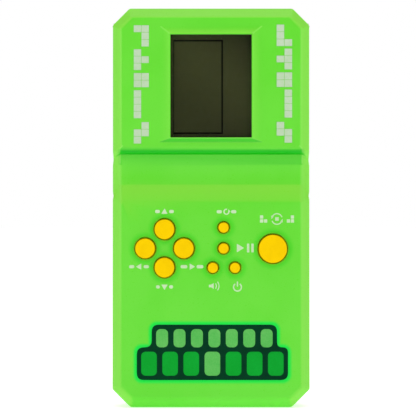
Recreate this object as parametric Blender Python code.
"""Handheld LCD game: case halves, screen, keypad, circuit board, sounder and battery bay.

The game stands on its lower end: +Z runs up its length, +X is to the right as seen from
the front, and the front faces -Y. Shapes are worked out in millimetres, and hang() and
keep() turn them into metres. A "rise" is a height above the parting line of the case,
measured towards the front, so the rises of the back half are negative.
"""

import math
from dataclasses import dataclass

import bmesh
import bpy
from mathutils import Vector

MM = 0.001
GAP = 0.3  # clearance between pieces that touch
WELD = 0.0005  # closer points than this become one after a cut or a join

# Outline of the case
LENGTH = 182.0
HALF_BOTTOM = 45.05
HALF_PANEL = 44.9
HALF_NECK = 44.92
HALF_NOTCH = 44.62
HALF_SCREEN = 44.8
CORNER_BOTTOM = 8.2
CORNER_TOP = 7.6
BAND_SIDE = 3.5  # width of the sloping band between face and side wall
BAND_END = 4.1
BAND_CORNER = 3.6
BAND_THINNING = 1.1  # how much narrower the band is on the inside of the wall

# Rises of the front surface
PANEL = 10.6
SCREEN_FACE = 12.0
VALLEY = 8.5
NECK_FOOT = 9.5
FRAME_TOP = 13.4
PANEL_EDGE = 7.2  # where the side wall ends and the sloping band starts
SCREEN_EDGE = 8.2
VALLEY_EDGE = 6.2
BACK = -15.6
BACK_EDGE = -9.6
SEAM_Y = FRAME_TOP - (FRAME_TOP - BACK) / 2  # puts the middle of the depth at y = 0

# Heights of the neck between screen block and control panel
NECK_RAMP = (94.6, 101.4)
NECK_FLOOR_TOP = 110.3
BLOCK_FOOT = 115.3
BLOCK_ROUND = 3.9
LOWER_NOTCH = 96.4
UPPER_NOTCH = 112.7
NOTCH_START = 1.6  # how far below the lower notch the side starts to fall in
NOTCH_END = 2.0
NOTCH_DROP = 0.4
RAMP_LEAD = 1.0
ROUND_STEPS = 4
ROUND_RUN = 4.0  # how far the rounding of the screen block's foot runs up its side

# Walls
SIDE_WALL = 2.0
SKIN = 1.8
EDGE_DROP = 0.7  # how far the inner edge of the side wall lies behind the outer one
LIP_INSETS = (0.3, 1.1)  # the back half's lip stands inside the front half's wall
LIP_TOP = 1.4
LIP_ROOT = (-2.6, -3.6)
FRONT_CUT = (8.0, 16.0)  # rises from inside the front wall to outside it
BACK_CUT = BACK - 2.0  # a rise outside the back wall
WALL_ROOT = BACK + 0.9  # where ledge, ring and columns start, inside the back wall
FRAME_ROOT = SCREEN_FACE - 0.5
COLUMN_SINK = 0.8  # how far a screw column reaches into the front wall

# Window and its raised frame
WINDOW_X = 18.45
WINDOW_Z = (123.0, 169.8)
FRAME_X = 23.1
FRAME_Z = (121.0, 173.7)
FRAME_LAND = 0.5
LENS_MARGIN = 1.8
LENS_TOP = 11.5
LENS_THICKNESS = 1.2
LENS_CORNER = 0.8

# Display and its holder: each layer as (low rise, high rise, set-back at the foot, material)
GLASS_X = 20.8
GLASS_Z = (121.8, 172.8)
SCREEN_LAYERS = {
    "lcd_front_polariser": (9.8, 10.0, 0.2, "polariser"),
    "lcd_front_glass": (8.6, 9.6, 0.0, "glass"),
    "lcd_rear_glass": (7.4, 8.4, 3.4, "glass"),
    "lcd_reflector": (7.0, 7.2, 3.6, "reflector"),
}
HOLDER_X = 23.0
HOLDER_Z = (120.0, 174.6)
HOLDER_TOP = 9.6
HOLDER_FLOOR = 6.7
HOLDER_OPENING_X = 17.0
HOLDER_OPENING_Z = (127.5, 168.5)
HOLDER_CUT = (3.0, 12.0)
ZEBRA_X = 18.0
ZEBRA_Z = (122.3, 124.6)
ZEBRA_TOP = 8.3

# Circuit board
BOARD_X = 34.2
BOARD_Z = (20.0, 170.0)
BOARD_FRONT = 4.2
BOARD_BACK = 3.0
BOARD_CORNER = 2.0
BOARD_HOLE = 1.3
PART_BASE = BOARD_BACK - GAP  # the rise on which the parts behind the board stand

# Parts behind the board: places as (x, z), profiles as (radius, distance)
BLOB = (0.0, 128.0)
BLOB_RADIUS = 7.0
BLOB_FOOT = 0.3
BLOB_HEIGHT = 1.5
BLOB_STEPS = 5
CAPACITOR = (20.0, 120.0)
CAN_PROFILE = (
    (0, 0), (2.9, 0), (3.15, 0.4), (3.15, 1.0), (2.9, 1.4), (3.15, 1.8), (3.15, 10.6),
    (2.8, 11.0), (0, 11.0),
)
TRANSISTOR = (-22.0, 122.0)
TRANSISTOR_RADIUS = 2.3
TRANSISTOR_RISE = (-4.2, 0.2)
LEG_PITCH = 1.3
LEG_HALF = 0.25
RESISTORS = ((-12.0, 112.0), (0.0, 112.0), (12.0, 108.0))
RESISTOR_RISE = 1.0
RESISTOR_HALF_PROFILE = ((0.95, 1.6), (1.15, 1.9), (1.15, 2.7), (0.7, 3.1), (0, 3.1))
LEAD_RADIUS = 0.3
LEAD_END = 4.6

# Sounder: profiles as (radius, low rise, high rise), slots as (height above middle, length)
SOUNDER_Z = 142.0
SOUNDER_RADIUS = 13.5
SOUNDER_RING = 1.5
SOUNDER_RING_TOP = -12.0
PLATE_DISC = (SOUNDER_RADIUS, -11.7, -11.4)
CERAMIC_DISC = (9.8, -11.1, -10.85)
SOUND_SLOTS = ((-6.0, 9.0), (-3.0, 14.0), (0.0, 16.0), (3.0, 14.0), (6.0, 9.0))
SOUND_SLOT_WIDTH = 1.3
SOUND_SLOT_TOP = -12.5

# Screws: places as (x, z)
CASE_SCREWS = {
    "top_left": (-36.0, 172.0),
    "top_right": (36.0, 172.0),
    "middle_left": (-37.6, 105.0),
    "middle_right": (37.6, 105.0),
    "bottom_left": (-36.0, 12.0),
    "bottom_right": (36.0, 12.0),
}
BOARD_SCREWS = {
    "top_left": (-31.0, 161.0),
    "top_right": (31.0, 161.0),
    "middle_left": (-31.0, 104.0),
    "middle_right": (31.0, 104.0),
    "bottom_left": (-31.0, 24.5),
    "bottom_right": (31.0, 24.5),
}
CASE_BOSS = 3.0
BACK_BOSS = 4.0
COUNTERBORE = 2.7
SCREW_WEB = 2.5
SCREW_CLEARANCE = 1.5
SCREW_CLEARANCE_RISE = (-4.0, 2.0)
CASE_PILOT = 1.35
CASE_PILOT_RISE = (-1.0, 5.6)
BOARD_BOSS = 2.6
BOARD_PILOT = 1.05
BOARD_PILOT_RISE = (3.0, 6.8)

# Buttons and the silicone mats below them
PROUD = 1.9  # how far a cap stands out of the panel
HOLE_CLEARANCE = 0.5
CAP_EDGE = 0.35
FLANGE_WIDTH = 1.0
FLANGE = (7.8, 8.6)
STEM_INSET = 0.6
STEM_BOTTOM = 7.5
MAT = (4.5, 5.2)
MAT_MARGIN = 0.8
MAT_CORNER = 2.0
DOME_ROOT = 4.7
DOME_TAPER = 0.72  # radius of a dome's top over that of its foot
DOME_TOP = 7.2
DOME_NECK = 0.6
DOME_WALL = 0.7
DOME_ROOF = 1.2

# Battery bay in the back half
BAY_X = 29.2
BAY_Z = (29.6, 60.4)
BAY_FLOOR = 1.0
BAY_WALL = 1.2
BAY_ROOT = BACK + 0.8  # where the bay's walls start, inside the back wall
BAY_ROOF = 1.0
LEDGE_WIDTH = 1.5
LEDGE_RISE = (-13.8, -12.6)
DOOR_OPENING_X = 31.5
DOOR_OPENING_Z = (27.4, 62.6)
DOOR_OUTER = BACK + 0.1
DOOR_THICKNESS = 1.4
DOOR_GAP = 0.4
DOOR_CORNER = 1.0
HINGE_RISE = DOOR_OUTER  # on the door's outer face, so that its edge clears the case
HINGE_Z = DOOR_OPENING_Z[0] + DOOR_GAP
TAB_X = 18.0
TAB_WIDTH = 7.0
TAB_ROOT = DOOR_OUTER + 0.6
TAB_RISE = (-12.9, -11.9)
TAB_Z = (28.3, 29.3)
TAB_TIP_Z = 26.4
HOOK_POCKET_RISE = (-14.2, -10.8)
HOOK_POCKET_Z = (24.2, 31.0)
LATCH_X = 5.0  # half the width of the latch's nose
LATCH_DROP = (3.4, 2.4)  # how far the nose's two faces lie below the door's top edge
LATCH_SLIT_X = 7.0
LATCH_SLIT_HALF = 0.5
LATCH_SLIT_LENGTH = 9.0
GRIP_LINES = 4
GRIP_X = 4.5
GRIP_PITCH = 1.6
GRIP_WIDTH = 0.8
GRIP_DROP = 3.0
GRIP_DEPTH = 0.5

# Cells and contacts: x runs from the bay's middle towards the cell's button end
CELL_RADIUS = 7.25
CELL_LENGTH = 50.5
CELL_RISE = 0.7 - CELL_RADIUS
CELL_Z = {"battery_upper": 52.6, "battery_lower": 37.4}
PLATE = (BAY_X - 0.7, BAY_X - 0.3)
PLATE_RISE = (-12.4, 0.2)
PLATE_HALF = 6.6
BUTTON_END = PLATE[0] - GAP
FLAT_END = BUTTON_END - CELL_LENGTH
CELL_FLAT_END = ((0, 0), (4.2, 0), (4.2, 0.2), (6.7, 0.3), (CELL_RADIUS, 0.8))
CELL_BUTTON_END = (
    (CELL_RADIUS, 2.0), (6.6, 1.4), (2.75, 1.3), (2.75, 0.2), (2.5, 0), (0, 0),
)
TAIL_END = -34.2
TAIL_RISE = (-3.2, -2.8)
TAIL_HALF = 1.4
TAIL_SLOT_RISE = (-3.5, -2.5)
TAIL_SLOT_HALF = 1.8
SPRING_WIRE = 0.35
SPRING_RADII = (4.2, 2.6)  # at the plate and at the cell
SPRING_TURNS = 3.5
SPRING_STEPS = 10
SPRING_END_GAP = 0.7

# Wires: their material and the points they pass through, as (x, rise, z)
WIRE_RADIUS = 0.6
WIRES = {
    "wire_battery_positive": (
        "wire_red",
        ((-33.4, -3.9, 37.4), (-35.4, -4.3, 41.5), (-37.2, -4.2, 52.0), (-36.6, -1.0, 64.0),
         (-33.6, 0.6, 69.0), (-32.6, 2.2, 70.0)),
    ),
    "wire_battery_negative": (
        "wire_black",
        ((-33.4, -3.9, 52.6), (-35.2, -5.6, 55.0), (-38.4, -6.0, 64.0), (-37.8, -2.4, 75.0),
         (-33.8, 0.4, 80.0), (-32.6, 2.2, 81.0)),
    ),
    "wire_buzzer_plate": (
        "wire_red",
        ((-11.6, -10.6, 145.6), (-17.0, -9.0, 148.6), (-21.0, -4.0, 146.0), (-21.0, 0.6, 141.0),
         (-20.6, 2.2, 140.0)),
    ),
    "wire_buzzer_ceramic": (
        "wire_black",
        ((3.0, -10.0, 139.0), (9.0, -8.2, 140.0), (17.0, -5.4, 144.0), (20.6, 0.2, 141.2),
         (20.6, 2.2, 140.2)),
    ),
}

# Screws as (head radius, shank radius, head height, length); shapes as shares of the head
CASE_SCREW = (2.3, 1.1, 1.8, 7.4)
BOARD_SCREW = (2.1, 0.85, 1.3, 3.6)
HEAD_EDGE = 0.55
HEAD_TOP = 0.72
SHANK_TIP = 0.4
CROSS_LENGTH = 0.55
CROSS_WIDTH = 0.13
CROSS_DEPTH = 0.5


@dataclass(frozen=True)
class Button:
    """A button cap: where its middle is, and the radii of its cap and its dome's foot."""

    x: float
    z: float
    radius: float
    dome: float
    segments: int


BUTTONS = {
    "up": Button(-21.2, 81.3, 4.5, 3.4, 24),
    "left": Button(-30.0, 72.6, 4.5, 3.4, 24),
    "right": Button(-12.4, 72.6, 4.5, 3.4, 24),
    "down": Button(-21.2, 63.9, 4.5, 3.4, 24),
    "reset": Button(5.7, 82.1, 2.35, 2.3, 16),
    "start_pause": Button(5.7, 72.6, 2.35, 2.3, 16),
    "sound": Button(0.8, 63.8, 2.35, 2.3, 16),
    "power": Button(10.9, 63.8, 2.35, 2.3, 16),
    "rotate": Button(28.1, 72.4, 6.4, 4.6, 32),
}
KEYPADS = {
    "keypad_directions": ("up", "left", "right", "down"),
    "keypad_functions": ("reset", "start_pause", "sound", "power"),
    "keypad_rotate": ("rotate",),
}


# ---------------------------------------------------------------- places and meshes


def place(x, rise, z):
    """A point from its distances across, towards the front and up."""
    return Vector((x, SEAM_Y - rise, z))


def mesh_of(points, faces, split=False):
    """A closed bmesh from points and faces, facing out; split for faces that aren't flat."""
    bm = bmesh.new()
    verts = [bm.verts.new(p) for p in points]
    for face in faces:
        bm.faces.new([verts[i] for i in face])
    bmesh.ops.remove_doubles(bm, verts=bm.verts, dist=1e-5)
    if split:
        bmesh.ops.triangulate(bm, faces=bm.faces)
    bmesh.ops.recalc_face_normals(bm, faces=bm.faces)
    return bm


def prism(outline, low, high):
    """The (x, z) outline extruded between two rises."""
    return frustum(outline, low, outline, high)


def frustum(low_outline, low, high_outline, high):
    """A solid between two outlines with the same number of points, at two rises."""
    count = len(low_outline)
    points = [place(x, low, z) for x, z in low_outline]
    points += [place(x, high, z) for x, z in high_outline]
    faces = [tuple(range(count)), tuple(range(2 * count - 1, count - 1, -1))]
    faces += [(i, (i + 1) % count, count + (i + 1) % count, count + i) for i in range(count)]
    return mesh_of(points, faces)


def rectangle(x0, x1, z0, z1):
    """A rectangle's outline."""
    return [(x0, z0), (x1, z0), (x1, z1), (x0, z1)]


def rounded(x0, x1, z0, z1, radius, steps=3):
    """A rectangle with round corners, as an outline."""
    corners = ((x1, z0, -90), (x1, z1, 0), (x0, z1, 90), (x0, z0, 180))
    outline = []
    for x, z, start in corners:
        middle_x = x - math.copysign(radius, x - (x0 + x1) / 2)
        middle_z = z - math.copysign(radius, z - (z0 + z1) / 2)
        for step in range(steps + 1):
            angle = math.radians(start + 90 * step / steps)
            outline.append(
                (middle_x + radius * math.cos(angle), middle_z + radius * math.sin(angle))
            )
    return outline


def box(x0, x1, low, high, z0, z1):
    """A block between two places across, two rises and two heights."""
    return prism(rectangle(x0, x1, z0, z1), low, high)


def turned(profile, origin=Vector(), axis=Vector((0, -1, 0)), segments=24):
    """A profile of (radius, distance along the axis), spun round the axis."""
    side = Vector((1, 0, 0)) if abs(axis.x) < 0.5 else Vector((0, 0, 1))
    bm = bmesh.new()
    verts = [bm.verts.new(origin + axis * d + side * r) for r, d in profile]
    edges = [bm.edges.new(pair) for pair in zip(verts, verts[1:])]
    bmesh.ops.spin(
        bm, geom=verts + edges, cent=origin, axis=axis, angle=math.tau, steps=segments,
        use_merge=True,
    )
    bmesh.ops.remove_doubles(bm, verts=bm.verts, dist=1e-4)
    bmesh.ops.recalc_face_normals(bm, faces=bm.faces)
    return bm


def rod(x, z, radius, low, high, segments=24):
    """A round bar standing on the case, between two rises."""
    angles = [math.tau * (i + 0.3) / segments for i in range(segments)]
    outline = [(x + radius * math.cos(a), z + radius * math.sin(a)) for a in angles]
    return prism(outline, low, high)


def combined(base, tools, operation):
    """The base mesh joined with each tool, or cut by it, one after the other."""
    scene = bpy.context.scene.collection
    for tool in tools:
        pair = []
        for bm in (base, tool):
            mesh = bpy.data.meshes.new("temporary")
            bm.to_mesh(mesh)
            bm.free()
            pair.append(bpy.data.objects.new("temporary", mesh))
            scene.objects.link(pair[-1])
        modifier = pair[0].modifiers.new("boolean", "BOOLEAN")
        modifier.operation = operation
        modifier.object = pair[1]
        graph = bpy.context.evaluated_depsgraph_get()
        base = bmesh.new()
        base.from_mesh(pair[0].evaluated_get(graph).to_mesh())
        for obj in pair:
            mesh = obj.data
            bpy.data.objects.remove(obj)
            bpy.data.meshes.remove(mesh)
        bmesh.ops.remove_doubles(base, verts=base.verts, dist=WELD)
        bmesh.ops.dissolve_degenerate(base, edges=base.edges, dist=WELD)
    return base


def joined(base, *tools):
    """The base with the tools added to it."""
    return combined(base, tools, "UNION")


def cut(base, *tools):
    """The base with the tools taken out of it."""
    return combined(base, tools, "DIFFERENCE")


# ---------------------------------------------------------------- materials and objects


def linear(value):
    """One channel of a screen colour, 0 to 255, as linear light."""
    value /= 255
    return value / 12.92 if value <= 0.04045 else ((value + 0.055) / 1.055) ** 2.4


def material(name, colour, roughness, metallic=0.0):
    """A Principled material; the colour is a screen colour, 0 to 255."""
    made = bpy.data.materials.new(name)
    made.use_nodes = True
    shader = made.node_tree.nodes["Principled BSDF"]
    shader.inputs["Base Color"].default_value = (*(linear(c) for c in colour), 1)
    shader.inputs["Roughness"].default_value = roughness
    shader.inputs["Metallic"].default_value = metallic
    made.diffuse_color = shader.inputs["Base Color"].default_value
    return made


def make_materials():
    """Every material, by its name."""
    return {
        "case": material("case", (110, 228, 66), 0.32),
        "button": material("button", (250, 210, 5), 0.5),
        "lens": material("lens", (150, 155, 140), 0.08),
        "polariser": material("polariser", (54, 57, 34), 0.2),
        "glass": material("glass", (170, 185, 175), 0.05),
        "reflector": material("reflector", (150, 150, 140), 0.35, 0.6),
        "holder": material("holder", (225, 225, 218), 0.5),
        "rubber": material("rubber", (205, 205, 200), 0.6),
        "zebra": material("zebra", (60, 60, 66), 0.7),
        "board": material("board", (150, 112, 62), 0.5),
        "resin": material("resin", (18, 18, 20), 0.25),
        "sleeve": material("sleeve", (24, 32, 70), 0.35),
        "resistor": material("resistor", (196, 166, 120), 0.45),
        "brass": material("brass", (205, 165, 85), 0.3, 1.0),
        "ceramic": material("ceramic", (228, 224, 208), 0.45),
        "nickel": material("nickel", (190, 190, 186), 0.25, 1.0),
        "screw": material("screw", (150, 150, 152), 0.35, 1.0),
        "cell": material("cell", (60, 64, 70), 0.3, 0.3),
        "wire_red": material("wire_red", (190, 25, 22), 0.4),
        "wire_black": material("wire_black", (20, 20, 22), 0.4),
    }


def keep(name, bm, finish, parent, origin=Vector()):
    """Makes a mesh, given in world space, an object whose own origin is at the given point."""
    bmesh.ops.translate(bm, vec=-origin, verts=bm.verts)
    bmesh.ops.scale(bm, vec=(MM, MM, MM), verts=bm.verts)
    mesh = bpy.data.meshes.new(name)
    bm.to_mesh(mesh)
    bm.free()
    mesh.materials.append(finish)
    mesh.shade_smooth()
    mesh.set_sharp_from_angle(angle=math.radians(30))
    return hang(name, mesh, origin, parent)


def hang(name, mesh, origin, parent):
    """Links a mesh to the scene as an object under its parent, at a point in world space."""
    obj = bpy.data.objects.new(name, mesh)
    bpy.context.scene.collection.objects.link(obj)
    obj.parent = parent
    obj.location = origin * MM - parent.location
    return obj


def pivot(name, point, parent=None):
    """An empty at a point, as a joint's place or as the parent of other pieces."""
    empty = bpy.data.objects.new(name, None)
    bpy.context.scene.collection.objects.link(empty)
    empty.empty_display_size = 10 * MM
    empty.parent = parent
    empty.location = point * MM
    return empty


# ---------------------------------------------------------------- case


@dataclass(frozen=True)
class Station:
    """One rib of the case's shape: a point of the wall's edge and one of the face's edge."""

    edge_x: float
    edge_z: float
    edge_rise: float
    face_x: float
    face_z: float
    face_rise: float


def end_station(top, wall, edge_rise, band, face_rise):
    """The corner between an end and its chamfer, with everything moved in by the wall."""
    root = math.sqrt(2)
    inset, end_inset = band + wall * root, BAND_END * band / BAND_CORNER + wall
    start = HALF_SCREEN - CORNER_TOP if top else HALF_BOTTOM - CORNER_BOTTOM
    edge_x = start - wall * root + wall
    face_x = start - (band + wall) * root + end_inset
    edge_z = LENGTH - wall if top else wall
    face_z = LENGTH - end_inset if top else end_inset
    return Station(edge_x, edge_z, edge_rise, face_x, face_z, face_rise)


def side_station(top, wall, edge_rise, band, face_rise):
    """The corner between a side and an end's chamfer, with everything moved in by the wall."""
    root = math.sqrt(2)
    half, corner = (HALF_SCREEN, CORNER_TOP) if top else (HALF_BOTTOM, CORNER_BOTTOM)
    edge_x = half - wall
    edge_up = corner - wall + wall * root
    face_x = edge_x - band * BAND_SIDE / BAND_CORNER
    face_up = (band + wall) * root - (half - face_x) + corner
    edge_z = LENGTH - edge_up if top else edge_up
    face_z = LENGTH - face_up if top else face_up
    return Station(edge_x, edge_z, edge_rise, face_x, face_z, face_rise)


def front_stations(wall=0.0, skin=0.0):
    """The right side of the front surface, bottom to top; wall and skin move it inwards."""
    drop = EDGE_DROP if wall else 0.0
    band = BAND_CORNER - (BAND_THINNING if wall else 0.0)
    face = band * BAND_SIDE / BAND_CORNER
    ends = (wall, PANEL_EDGE - drop, band, PANEL - skin)
    tops = (wall, SCREEN_EDGE - drop, band, SCREEN_FACE - skin)

    def neck(half, edge_z, edge_rise, face_z, face_rise):
        return Station(
            half - wall, edge_z, edge_rise - drop, HALF_NECK - wall - face, face_z,
            face_rise - skin,
        )

    stations = [end_station(False, *ends), side_station(False, *ends)]
    stations += [
        neck(
            HALF_PANEL, LOWER_NOTCH - NOTCH_START, PANEL_EDGE, NECK_RAMP[0] - RAMP_LEAD, PANEL
        ),
        neck(HALF_NOTCH, LOWER_NOTCH, PANEL_EDGE - NOTCH_DROP, NECK_RAMP[0], PANEL),
        neck(HALF_NECK, LOWER_NOTCH + NOTCH_END, VALLEY_EDGE, NECK_RAMP[1], VALLEY),
        neck(HALF_NECK, NECK_FLOOR_TOP, VALLEY_EDGE, NECK_FLOOR_TOP, VALLEY),
        neck(HALF_NOTCH, UPPER_NOTCH, VALLEY_EDGE + NOTCH_DROP, BLOCK_FOOT + skin, NECK_FOOT),
    ]
    for step in range(1, ROUND_STEPS + 1):
        angle = math.radians(90 * step / ROUND_STEPS)
        rounding = BLOCK_ROUND - skin
        half = HALF_NOTCH + (HALF_SCREEN - HALF_NOTCH) * step / ROUND_STEPS
        edge_rise = VALLEY_EDGE + (SCREEN_EDGE - VALLEY_EDGE) * step / ROUND_STEPS
        edge_z = UPPER_NOTCH + ROUND_RUN * step / ROUND_STEPS
        face_z = BLOCK_FOOT + BLOCK_ROUND - rounding * math.cos(angle)
        face_rise = NECK_FOOT + (SCREEN_FACE - NECK_FOOT) * math.sin(angle)
        stations.append(neck(half, edge_z, edge_rise, face_z, face_rise))
    stations += [side_station(True, *tops), end_station(True, *tops)]
    return stations


def back_stations(wall=0.0, skin=0.0):
    """The right side of the back surface, bottom to top; wall and skin move it inwards."""
    drop = EDGE_DROP if wall else 0.0
    band = BAND_CORNER - (BAND_THINNING if wall else 0.0)
    face_rise, edge_rise = BACK + skin, BACK_EDGE + drop
    sizes = (wall, edge_rise, band, face_rise)
    shape = [end_station(False, *sizes), side_station(False, *sizes)]
    notches = (
        (LOWER_NOTCH - NOTCH_START, HALF_PANEL), (LOWER_NOTCH, HALF_NOTCH),
        (LOWER_NOTCH + NOTCH_END, HALF_NECK), (NECK_FLOOR_TOP, HALF_NECK),
        (UPPER_NOTCH, HALF_NOTCH), (UPPER_NOTCH + ROUND_RUN, HALF_SCREEN),
    )
    for z, half in notches:
        face_x = HALF_NECK - wall - band * BAND_SIDE / BAND_CORNER
        shape.append(Station(half - wall, z, edge_rise, face_x, z, face_rise))
    return shape + [side_station(True, *sizes), end_station(True, *sizes)]


def shell(outer, inner, rim):
    """A half case: its outer and inner surfaces run through their stations.

    The rim joins them. It is a list of (stations, rise), from outside to inside, and it runs
    along those stations' edges at those rises.
    """
    points, faces, loops = [], [], []

    def ring(stations, height, x_of, z_of):
        right = [(x_of(s), height(s), z_of(s)) for s in stations]
        left = [(-x, rise, z) for x, rise, z in reversed(right)]
        start = len(points)
        points.extend(place(*p) for p in right + left)
        loops.append(list(range(start, len(points))))

    ring(outer, lambda s: s.face_rise, lambda s: s.face_x, lambda s: s.face_z)
    ring(outer, lambda s: s.edge_rise, lambda s: s.edge_x, lambda s: s.edge_z)
    for stations, rise in rim:
        ring(stations, lambda s: rise, lambda s: s.edge_x, lambda s: s.edge_z)
    ring(inner, lambda s: s.edge_rise, lambda s: s.edge_x, lambda s: s.edge_z)
    ring(inner, lambda s: s.face_rise, lambda s: s.face_x, lambda s: s.face_z)
    count = len(loops[0])

    def bridge(one, other):
        for i in range(count):
            j = (i + 1) % count
            faces.append((loops[one][i], loops[one][j], loops[other][j], loops[other][i]))

    for one in range(len(loops) - 1):
        bridge(one, one + 1)
    for face in (loops[0], loops[-1]):
        for i in range(count // 2 - 1):
            faces.append((face[i], face[i + 1], face[count - 2 - i], face[count - 1 - i]))
    return mesh_of(points, faces, split=True)


def frame_outline(rise):
    """The window frame's outer outline at a rise; its four bands slope inwards."""
    share = (rise - SCREEN_FACE) / (FRAME_TOP - SCREEN_FACE)
    x = FRAME_X + (WINDOW_X + FRAME_LAND - FRAME_X) * share
    z0 = FRAME_Z[0] + (WINDOW_Z[0] - FRAME_LAND - FRAME_Z[0]) * share
    z1 = FRAME_Z[1] + (WINDOW_Z[1] + FRAME_LAND - FRAME_Z[1]) * share
    return rectangle(-x, x, z0, z1)


def front_case():
    """The front half with its window frame, button holes and screw columns."""
    outer, inner = front_stations(), front_stations(SIDE_WALL, SKIN)
    case = shell(outer, inner, [(outer, 0.0), (inner, 0.0)])
    foot, crest = frame_outline(FRAME_ROOT), frame_outline(FRAME_TOP)
    additions = [frustum(foot, FRAME_ROOT, crest, FRAME_TOP)]
    for x, z in CASE_SCREWS.values():
        additions.append(rod(x, z, CASE_BOSS, 0.0, boss_top(z), 16))
    for x, z in BOARD_SCREWS.values():
        additions.append(rod(x, z, BOARD_BOSS, BOARD_FRONT + GAP, boss_top(z), 12))
    case = joined(case, *additions)
    cutters = [
        box(-WINDOW_X, WINDOW_X, *FRONT_CUT, *WINDOW_Z),
        box(
            -WINDOW_X - LENS_MARGIN, WINDOW_X + LENS_MARGIN, FRONT_CUT[0], LENS_TOP + GAP,
            WINDOW_Z[0] - LENS_MARGIN, WINDOW_Z[1] + LENS_MARGIN,
        ),
    ]
    for button in BUTTONS.values():
        radius = button.radius + HOLE_CLEARANCE
        cutters.append(rod(button.x, button.z, radius, *FRONT_CUT, button.segments))
    for x, z in CASE_SCREWS.values():
        cutters.append(rod(x, z, CASE_PILOT, *CASE_PILOT_RISE, 10))
    for x, z in BOARD_SCREWS.values():
        cutters.append(rod(x, z, BOARD_PILOT, *BOARD_PILOT_RISE, 10))
    return cut(case, *cutters)


def boss_top(z):
    """The rise, inside the front wall, where a screw column ends."""
    if z < NECK_RAMP[0]:
        return PANEL - COLUMN_SINK
    return (VALLEY if z < BLOCK_FOOT else SCREEN_FACE) - COLUMN_SINK


def slot(middle_x, middle_z, length, width, low, high, steps=4):
    """A round-ended slot along X, as a cutter."""
    outline = []
    for side, start in ((1, -90), (-1, 90)):
        for step in range(steps + 1):
            angle = math.radians(start + 180 * step / steps)
            x = middle_x + side * (length - width) / 2 + width / 2 * math.cos(angle)
            outline.append((x, middle_z + width / 2 * math.sin(angle)))
    return prism(outline, low, high)


def back_case():
    """The back half with its battery bay, screw columns, sounder ring, slots and lip."""
    outer, inner = back_stations(), back_stations(SIDE_WALL, SKIN)
    lip_outside, lip_inside = (back_stations(SIDE_WALL + inset) for inset in LIP_INSETS)
    rim = [
        (outer, -GAP), (lip_outside, -GAP), (lip_outside, LIP_TOP), (lip_inside, LIP_TOP),
        (lip_inside, LIP_ROOT[0]), (inner, LIP_ROOT[1]),
    ]
    case = joined(
        shell(outer, inner, rim),
        box(
            -BAY_X - BAY_WALL, BAY_X + BAY_WALL, BAY_ROOT, BAY_FLOOR + BAY_ROOF,
            BAY_Z[0] - BAY_WALL, BAY_Z[1] + BAY_WALL,
        ),
        box(
            -DOOR_OPENING_X - LEDGE_WIDTH, DOOR_OPENING_X + LEDGE_WIDTH, WALL_ROOT,
            LEDGE_RISE[1], DOOR_OPENING_Z[0] - LEDGE_WIDTH, DOOR_OPENING_Z[1] + LEDGE_WIDTH,
        ),
        rod(0, SOUNDER_Z, SOUNDER_RADIUS + SOUNDER_RING, WALL_ROOT, SOUNDER_RING_TOP, 28),
        *(rod(x, z, BACK_BOSS, WALL_ROOT, -GAP, 16) for x, z in CASE_SCREWS.values()),
    )
    cutters = [
        box(-BAY_X, BAY_X, BACK_CUT, BAY_FLOOR, *BAY_Z),
        box(-DOOR_OPENING_X, DOOR_OPENING_X, BACK_CUT, LEDGE_RISE[0], *DOOR_OPENING_Z),
        rod(
            0, SOUNDER_Z, SOUNDER_RADIUS - SOUNDER_RING, BACK + SKIN, SOUNDER_RING_TOP + 2, 28
        ),
    ]
    for x in (-TAB_X, TAB_X):
        half = TAB_WIDTH / 2 + DOOR_GAP
        cutters.append(box(x - half, x + half, *HOOK_POCKET_RISE, *HOOK_POCKET_Z))
    for z in CELL_Z.values():
        wall = (-BAY_X - BAY_WALL - GAP, -BAY_X + GAP)
        cutters.append(box(*wall, *TAIL_SLOT_RISE, z - TAIL_SLOT_HALF, z + TAIL_SLOT_HALF))
    for x, z in CASE_SCREWS.values():
        cutters.append(rod(x, z, COUNTERBORE, BACK_CUT, -GAP - SCREW_WEB, 16))
        cutters.append(rod(x, z, SCREW_CLEARANCE, *SCREW_CLEARANCE_RISE, 10))
    for up, length in SOUND_SLOTS:
        cutters.append(
            slot(0, SOUNDER_Z + up, length, SOUND_SLOT_WIDTH, BACK_CUT, SOUND_SLOT_TOP)
        )
    return cut(case, *cutters)


# ---------------------------------------------------------------- screen


def screen_parts():
    """(name, mesh, material name) of the lens, the display's layers and its holder."""
    lens_x = WINDOW_X + LENS_MARGIN - GAP
    lens_z = (WINDOW_Z[0] - LENS_MARGIN + GAP, WINDOW_Z[1] + LENS_MARGIN - GAP)
    lens_outline = rounded(-lens_x, lens_x, *lens_z, LENS_CORNER)
    yield "screen_window", prism(lens_outline, LENS_TOP - LENS_THICKNESS, LENS_TOP), "lens"
    for name, (low, high, set_back, finish) in SCREEN_LAYERS.items():
        yield name, box(-GLASS_X, GLASS_X, low, high, GLASS_Z[0] + set_back, GLASS_Z[1]), finish
    holder = cut(
        box(-HOLDER_X, HOLDER_X, BOARD_FRONT + GAP, HOLDER_TOP, *HOLDER_Z),
        box(
            -GLASS_X - GAP, GLASS_X + GAP, HOLDER_FLOOR, HOLDER_CUT[1], GLASS_Z[0] - GAP,
            GLASS_Z[1] + GAP,
        ),
        box(-HOLDER_OPENING_X, HOLDER_OPENING_X, *HOLDER_CUT, *HOLDER_OPENING_Z),
        box(-ZEBRA_X - GAP, ZEBRA_X + GAP, *HOLDER_CUT, ZEBRA_Z[0] - GAP, ZEBRA_Z[1] + GAP),
    )
    yield "lcd_holder", holder, "holder"
    yield "zebra_strip", box(-ZEBRA_X, ZEBRA_X, BOARD_FRONT + GAP, ZEBRA_TOP, *ZEBRA_Z), "zebra"


# ---------------------------------------------------------------- keypad


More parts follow.
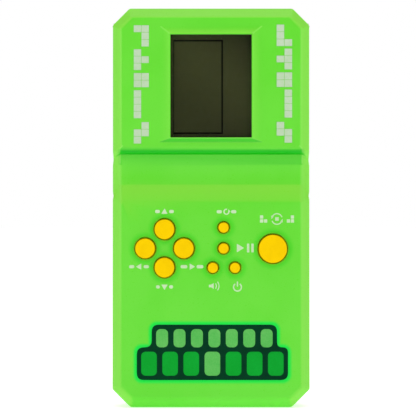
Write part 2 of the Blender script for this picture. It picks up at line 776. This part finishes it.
def keypad(names):
    """A silicone mat with one hollow dome for each button."""
    buttons = [BUTTONS[name] for name in names]
    x0 = min(button.x - button.dome for button in buttons) - MAT_MARGIN
    x1 = max(button.x + button.dome for button in buttons) + MAT_MARGIN
    z0 = min(button.z - button.dome for button in buttons) - MAT_MARGIN
    z1 = max(button.z + button.dome for button in buttons) + MAT_MARGIN
    mat = prism(rounded(x0, x1, z0, z1, MAT_CORNER), *MAT)
    domes, hollows = [], []
    for button in buttons:
        foot, top = button.dome, button.dome * DOME_TAPER
        shape = [
            (0, DOME_ROOT), (foot, DOME_ROOT), (foot, MAT[1]), (top, DOME_TOP - DOME_NECK),
            (top, DOME_TOP), (0, DOME_TOP),
        ]
        below, roof = BOARD_BACK, DOME_TOP - DOME_ROOF
        hollow = [
            (0, below), (foot - DOME_WALL, below), (foot - DOME_WALL, MAT[1]),
            (top - DOME_WALL, roof), (0, roof),
        ]
        middle = place(button.x, 0, button.z)
        segments = 16 if button.segments > 16 else 12
        domes.append(turned(shape, middle, segments=segments))
        hollows.append(turned(hollow, middle, segments=segments))
    return cut(joined(mat, *domes), *hollows)


def button_mesh(button):
    """A cap with its flange and stem, about the cap's middle line at a rise of 0."""
    radius = button.radius
    top = PANEL + PROUD
    profile = [
        (0, STEM_BOTTOM), (radius - STEM_INSET, STEM_BOTTOM), (radius - STEM_INSET, FLANGE[0]),
        (radius + FLANGE_WIDTH, FLANGE[0]), (radius + FLANGE_WIDTH, FLANGE[1]),
        (radius, FLANGE[1]), (radius, top - CAP_EDGE), (radius - CAP_EDGE, top), (0, top),
    ]
    return turned(profile, place(button.x, 0, button.z), segments=button.segments)


# ---------------------------------------------------------------- board and its parts


def board():
    """The circuit board with its screw holes."""
    outline = rounded(-BOARD_X, BOARD_X, *BOARD_Z, BOARD_CORNER)
    holes = [
        rod(x, z, BOARD_HOLE, BOARD_BACK - 1, BOARD_FRONT + 1, 10)
        for x, z in BOARD_SCREWS.values()
    ]
    return cut(prism(outline, BOARD_BACK, BOARD_FRONT), *holes)


def resin_blob():
    """The dome of resin over the chip."""
    profile = [(0, PART_BASE), (BLOB_RADIUS, PART_BASE)]
    for step in range(BLOB_STEPS + 1):
        angle = math.radians(90 * step / BLOB_STEPS)
        rise = PART_BASE - BLOB_FOOT - BLOB_HEIGHT * math.sin(angle)
        profile.append((BLOB_RADIUS * math.cos(angle), rise))
    return turned(profile, place(BLOB[0], 0, BLOB[1]), segments=24)


def capacitor():
    """A can with a rolled groove, standing back from the board."""
    profile = [(radius, PART_BASE - distance) for radius, distance in CAN_PROFILE]
    return turned(profile, place(CAPACITOR[0], 0, CAPACITOR[1]), segments=20)


def transistor():
    """A half-round body on three short legs."""
    x, z = TRANSISTOR
    outline = []
    for degrees in range(-30, 211, 24):
        angle = math.radians(degrees)
        outline.append(
            (x + TRANSISTOR_RADIUS * math.cos(angle), z + TRANSISTOR_RADIUS * math.sin(angle))
        )
    legs = []
    for leg in (x - LEG_PITCH, x, x + LEG_PITCH):
        legs.append(box(leg - LEG_HALF, leg + LEG_HALF, -1, PART_BASE, z - LEG_HALF, z + LEG_HALF))
    return joined(prism(outline, *TRANSISTOR_RISE), *legs)


def resistor(x, z):
    """A body along X with a swelling at each end, on two bent leads."""
    mirrored = [(radius, -along) for radius, along in reversed(RESISTOR_HALF_PROFILE)]
    wire = [(0, -LEAD_END), (LEAD_RADIUS, -LEAD_END), (LEAD_RADIUS, LEAD_END), (0, LEAD_END)]
    middle, along = place(x, RESISTOR_RISE, z), Vector((1, 0, 0))
    body = turned([*mirrored, *RESISTOR_HALF_PROFILE], middle, along, 14)
    ends = []
    for side in (-1, 1):
        end = x + side * (LEAD_END - LEAD_RADIUS / 2)
        low = RESISTOR_RISE - LEAD_RADIUS * 0.8
        ends.append(rod(end, z, LEAD_RADIUS * 0.97, low, PART_BASE, 8))
    return joined(body, turned(wire, middle, along, 8), *ends)


# ---------------------------------------------------------------- sounder


def sounder_disc(radius, low, high):
    """One disc of the sounder, between two rises."""
    profile = [(0, low), (radius, low), (radius, high), (0, high)]
    return turned(profile, place(0, 0, SOUNDER_Z), segments=32)


# ---------------------------------------------------------------- batteries and contacts


def cell(name, direction):
    """A round cell along X; direction is the side that its button end faces."""
    profile = [(radius, FLAT_END + along) for radius, along in CELL_FLAT_END]
    profile += [(radius, BUTTON_END - along) for radius, along in CELL_BUTTON_END]
    return turned(profile, place(0, CELL_RISE, CELL_Z[name]), Vector((direction, 0, 0)), 28)


def contact_plate(side, low_cell, high_cell):
    """A plate at one end of the bay, from the lower cell given to the upper one."""
    x0, x1 = sorted((side * PLATE[0], side * PLATE[1]))
    return box(x0, x1, *PLATE_RISE, low_cell - PLATE_HALF, high_cell + PLATE_HALF)


def tailed_plate(z):
    """A plate on the left wall with a solder tail through it."""
    tail = box(TAIL_END, -PLATE[0] - 0.1, *TAIL_RISE, z - TAIL_HALF, z + TAIL_HALF)
    return joined(contact_plate(-1, z, z), tail)


def tube(name, points, radius, finish, parent):
    """A round wire through points."""
    curve = bpy.data.curves.new(name, "CURVE")
    curve.dimensions = "3D"
    curve.bevel_depth = radius * MM
    curve.bevel_resolution = 2
    curve.use_fill_caps = True
    spline = curve.splines.new("POLY")
    spline.points.add(len(points) - 1)
    for point, at in zip(spline.points, points):
        point.co = (*(at * MM), 1)
    curve.materials.append(finish)
    return hang(name, curve, Vector(), parent)


def spring_points(side, z):
    """A coil that narrows towards the cell, from the plate on the given side."""
    start, end = PLATE[0] - SPRING_END_GAP, -FLAT_END + SPRING_END_GAP
    count = int(SPRING_TURNS * SPRING_STEPS)
    points = []
    for i in range(count + 1):
        share = i / count
        angle = math.tau * SPRING_TURNS * share
        radius = SPRING_RADII[0] + (SPRING_RADII[1] - SPRING_RADII[0]) * share
        x = side * (start + (end - start) * share)
        points.append(
            place(x, CELL_RISE + radius * math.sin(angle), z + radius * math.cos(angle))
        )
    return points


def smooth_route(corners, steps=3):
    """Points on a smooth curve through the corners, given as (x, rise, z)."""
    known = [place(*c) for c in corners]
    known = [known[0] * 2 - known[1], *known, known[-1] * 2 - known[-2]]
    route = []
    for before, start, end, after in zip(known, known[1:], known[2:], known[3:]):
        for step in range(steps):
            t = step / steps
            route.append(
                0.5 * (
                    2 * start + (end - before) * t
                    + (2 * before - 5 * start + 4 * end - after) * t * t
                    + (3 * start - before - 3 * end + after) * t ** 3
                )
            )
    return [*route, known[-2]]


# ---------------------------------------------------------------- door and screws


def battery_door():
    """The door with its two hook tabs at the bottom, and a latch tongue at the top."""
    x = DOOR_OPENING_X - DOOR_GAP
    z0, z1 = DOOR_OPENING_Z[0] + DOOR_GAP, DOOR_OPENING_Z[1] - DOOR_GAP
    door = prism(
        rounded(-x, x, z0, z1, DOOR_CORNER, 2), DOOR_OUTER, DOOR_OUTER + DOOR_THICKNESS
    )
    additions = []
    for middle in (-TAB_X, TAB_X):
        sides = (middle - TAB_WIDTH / 2, middle + TAB_WIDTH / 2)
        additions.append(box(*sides, TAB_ROOT, TAB_RISE[1], *TAB_Z))
        additions.append(box(*sides, *TAB_RISE, TAB_TIP_Z, TAB_Z[1]))
    additions.append(
        box(-LATCH_X, LATCH_X, TAB_ROOT, TAB_RISE[0], z1 - LATCH_DROP[0], z1 - LATCH_DROP[1])
    )
    cutters = []
    for middle in (-LATCH_SLIT_X, LATCH_SLIT_X):
        sides = (middle - LATCH_SLIT_HALF, middle + LATCH_SLIT_HALF)
        cutters.append(box(*sides, BACK_CUT, HOOK_POCKET_RISE[1], z1 - LATCH_SLIT_LENGTH, z1 + 1))
    for line in range(GRIP_LINES):
        low = z1 - GRIP_DROP - GRIP_PITCH * line
        depth = DOOR_OUTER + GRIP_DEPTH
        cutters.append(box(-GRIP_X, GRIP_X, BACK_CUT, depth, low, low + GRIP_WIDTH))
    return cut(joined(door, *additions), *cutters)


def screw_mesh(head, shank, head_height, length):
    """A pan-head screw with a cross slot; its head stands on a rise of 0, pointing back."""
    profile = [
        (0, length), (shank * SHANK_TIP, length), (shank, length - shank), (shank, 0),
        (head, 0), (head, -head_height * HEAD_EDGE), (head * HEAD_TOP, -head_height),
        (0, -head_height),
    ]
    body = turned(profile, segments=12)
    low, high = -head_height - 1, -head_height * (1 - CROSS_DEPTH)
    cross = []
    for x, z in ((CROSS_LENGTH, CROSS_WIDTH), (CROSS_WIDTH, CROSS_LENGTH)):
        arm = box(-head * x, head * x, low, high, -head * z, head * z)
        bmesh.ops.translate(arm, vec=-place(0, 0, 0), verts=arm.verts)
        cross.append(arm)
    return cut(body, *cross)


def place_screws(prefix, places, head_rise, bm, finish, parent):
    """One object for each screw, all sharing one mesh."""
    mesh = bpy.data.meshes.new(prefix)
    bmesh.ops.scale(bm, vec=(MM, MM, MM), verts=bm.verts)
    bm.to_mesh(mesh)
    bm.free()
    mesh.materials.append(finish)
    for name, (x, z) in places.items():
        hang(f"{prefix}_{name}", mesh, place(x, head_rise, z), parent)


# ---------------------------------------------------------------- the whole game


def clear_scene():
    """Removes everything that the scene starts with."""
    for obj in list(bpy.data.objects):
        bpy.data.objects.remove(obj)


def build():
    """Makes every piece of the game, under one parent at its foot."""
    clear_scene()
    finish = make_materials()
    game = pivot("handheld_game", Vector())

    keep("front_case", front_case(), finish["case"], game)
    keep("back_case", back_case(), finish["case"], game)
    hinge_point = place(0, HINGE_RISE, HINGE_Z)
    hinge = pivot("battery_door_hinge", hinge_point, game)
    keep("battery_door", battery_door(), finish["case"], hinge, hinge_point)

    for name, mesh, look in screen_parts():
        keep(name, mesh, finish[look], game)

    for name, button in BUTTONS.items():
        middle = place(button.x, PANEL, button.z)
        keep(f"button_{name}", button_mesh(button), finish["button"], game, middle)
    for name, names in KEYPADS.items():
        keep(name, keypad(names), finish["rubber"], game)

    keep("circuit_board", board(), finish["board"], game)
    keep("chip_resin", resin_blob(), finish["resin"], game)
    keep("capacitor", capacitor(), finish["sleeve"], game)
    keep("transistor", transistor(), finish["resin"], game)
    for number, (x, z) in enumerate(RESISTORS, 1):
        keep(f"resistor_{number}", resistor(x, z), finish["resistor"], game)
    keep("buzzer_plate", sounder_disc(*PLATE_DISC), finish["brass"], game)
    keep("buzzer_ceramic", sounder_disc(*CERAMIC_DISC), finish["ceramic"], game)

    keep("battery_upper", cell("battery_upper", 1), finish["cell"], game)
    keep("battery_lower", cell("battery_lower", -1), finish["cell"], game)
    upper, lower = CELL_Z["battery_upper"], CELL_Z["battery_lower"]
    keep("contact_negative", tailed_plate(upper), finish["nickel"], game)
    keep("contact_positive", tailed_plate(lower), finish["nickel"], game)
    keep("contact_bridge", contact_plate(1, lower, upper), finish["nickel"], game)
    tube("spring_upper", spring_points(-1, upper), SPRING_WIRE, finish["nickel"], game)
    tube("spring_lower", spring_points(1, lower), SPRING_WIRE, finish["nickel"], game)
    for name, (look, corners) in WIRES.items():
        tube(name, smooth_route(corners), WIRE_RADIUS, finish[look], game)

    case_rise = -GAP - SCREW_WEB - GAP
    case_screw, board_screw = screw_mesh(*CASE_SCREW), screw_mesh(*BOARD_SCREW)
    place_screws("case_screw", CASE_SCREWS, case_rise, case_screw, finish["screw"], game)
    place_screws("board_screw", BOARD_SCREWS, PART_BASE, board_screw, finish["screw"], game)


build()
